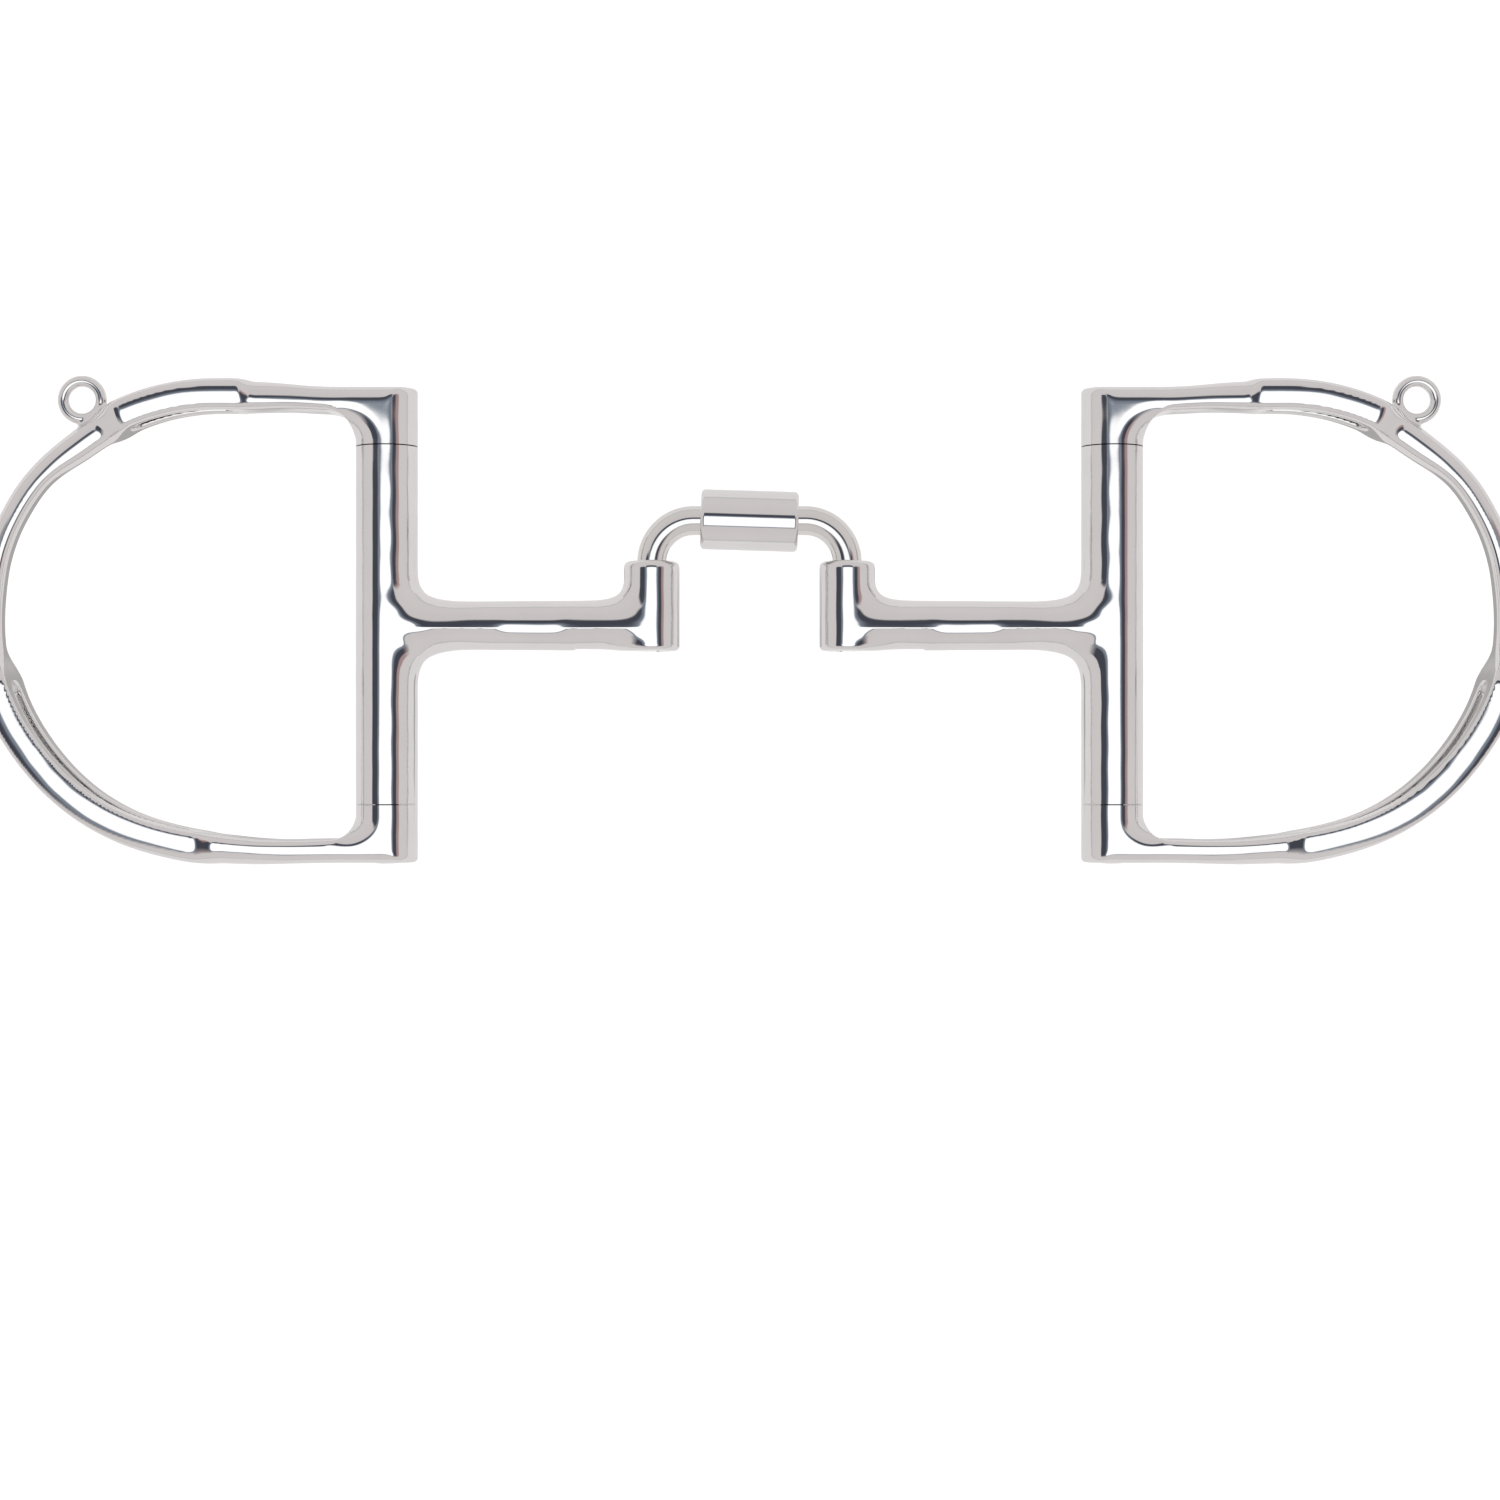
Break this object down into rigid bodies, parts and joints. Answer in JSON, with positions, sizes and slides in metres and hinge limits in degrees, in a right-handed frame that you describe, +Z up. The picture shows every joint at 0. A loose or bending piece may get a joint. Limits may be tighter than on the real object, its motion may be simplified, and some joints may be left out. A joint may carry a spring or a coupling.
{
  "type": "horse bit",
  "caption": "Polished steel dee-ring bit with slotted rings, curb loops, mouth arms that hinge on a raised port, and a loose roller on the port's crossbar.",
  "frame": {"origin": "on the surface that the bit lies on, below the middle of its bounding box", "axes": "+X along the mouthpiece towards the right ring, +Y towards the curb loops and the top of the rings, +Z up from the surface that the bit lies on"},
  "size_m": [0.2958, 0.0936, 0.0146],
  "materials": {
    "ring_steel": "mirror-polished stainless steel casting",
    "mouth_steel": "mirror-polished stainless steel casting",
    "rod_steel": "polished stainless steel rod, a little duller in its bends",
    "roller_steel": "turned and polished stainless steel tube",
    "pin_steel": "ground stainless steel pin"
  },
  "bodies": {
    "port": {"port_rod": "rod_steel", "left_leg_washer": "pin_steel", "right_leg_washer": "pin_steel"},
    "roller": {"roller": "roller_steel"},
    "left_arm": {"left_arm": "mouth_steel", "left_socket_plug": "mouth_steel"},
    "left_ring": {"left_ring": "ring_steel", "left_cheek_pin": "pin_steel", "left_curb_loop": "ring_steel"},
    "right_arm": {"right_arm": "mouth_steel", "right_socket_plug": "mouth_steel"},
    "right_ring": {"right_ring": "ring_steel", "right_cheek_pin": "pin_steel", "right_curb_loop": "ring_steel"}
  },
  "joints": [
    {"name": "left_arm_pivot", "type": "hinge", "parent": "port", "child": "left_arm", "pos_m": [-0.0187, -0.0011, 0.0073], "axis": [0, 1, 0], "range_deg": [-100, 100]},
    {"name": "left_ring_swing", "type": "hinge", "parent": "left_arm", "child": "left_ring", "pos_m": [-0.0694, -0.0011, 0.0073], "axis": [0, -1, 0], "range_deg": [-170, 170]},
    {"name": "right_arm_pivot", "type": "hinge", "parent": "port", "child": "right_arm", "pos_m": [0.0187, -0.0011, 0.0073], "axis": [0, -1, 0], "range_deg": [-100, 100]},
    {"name": "right_ring_swing", "type": "hinge", "parent": "right_arm", "child": "right_ring", "pos_m": [0.0694, -0.0011, 0.0073], "axis": [0, 1, 0], "range_deg": [-170, 170]},
    {"name": "roller_spin", "type": "hinge", "parent": "port", "child": "roller", "pos_m": [0, 0.01901, 0.0073], "axis": [1, 0, 0], "continuous": true}
  ]
}
